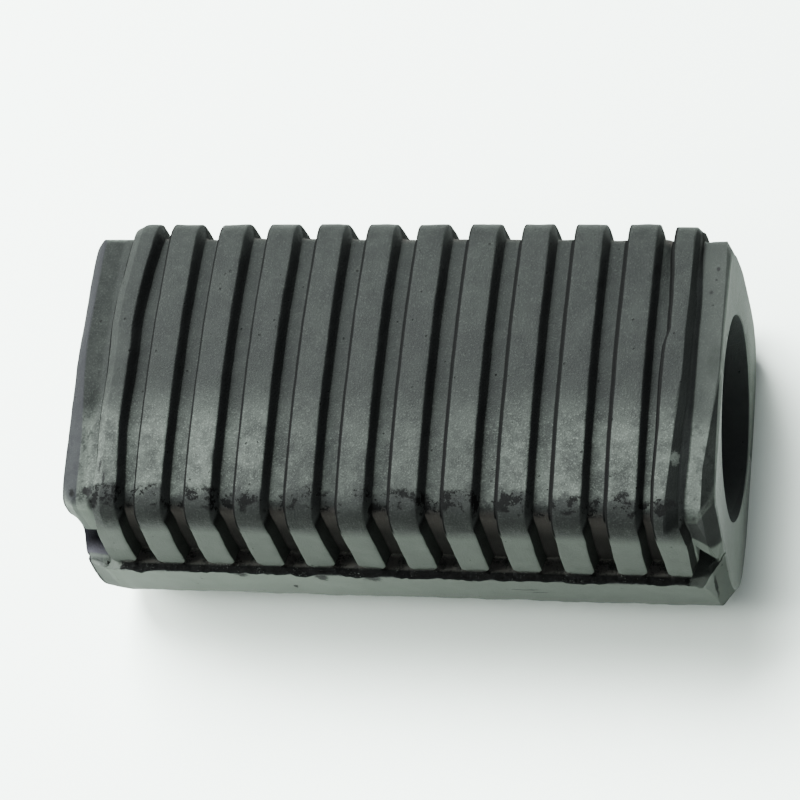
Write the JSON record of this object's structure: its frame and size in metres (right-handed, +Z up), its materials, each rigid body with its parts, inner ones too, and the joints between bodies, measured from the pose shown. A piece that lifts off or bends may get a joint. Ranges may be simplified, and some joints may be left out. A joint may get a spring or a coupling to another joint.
{
  "type": "motorcycle footrest rubber",
  "caption": "Moulded rubber footrest sleeve: ribbed crowned tread over a smooth flat-bottomed cradle, with a round bore along its length.",
  "frame": {"origin": "middle of the flat underside", "axes": "+X along the bore, +Y across the tread, +Z up through the ribbed crown"},
  "size_m": [0.079, 0.0426, 0.0319],
  "materials": {
    "moulded_rubber": "black moulded rubber, satin to matt, dusty on the tread, with a rough flash line along the ledge"
  },
  "bodies": {
    "root": {"footrest_rubber": "moulded_rubber"}
  },
  "joints": []
}
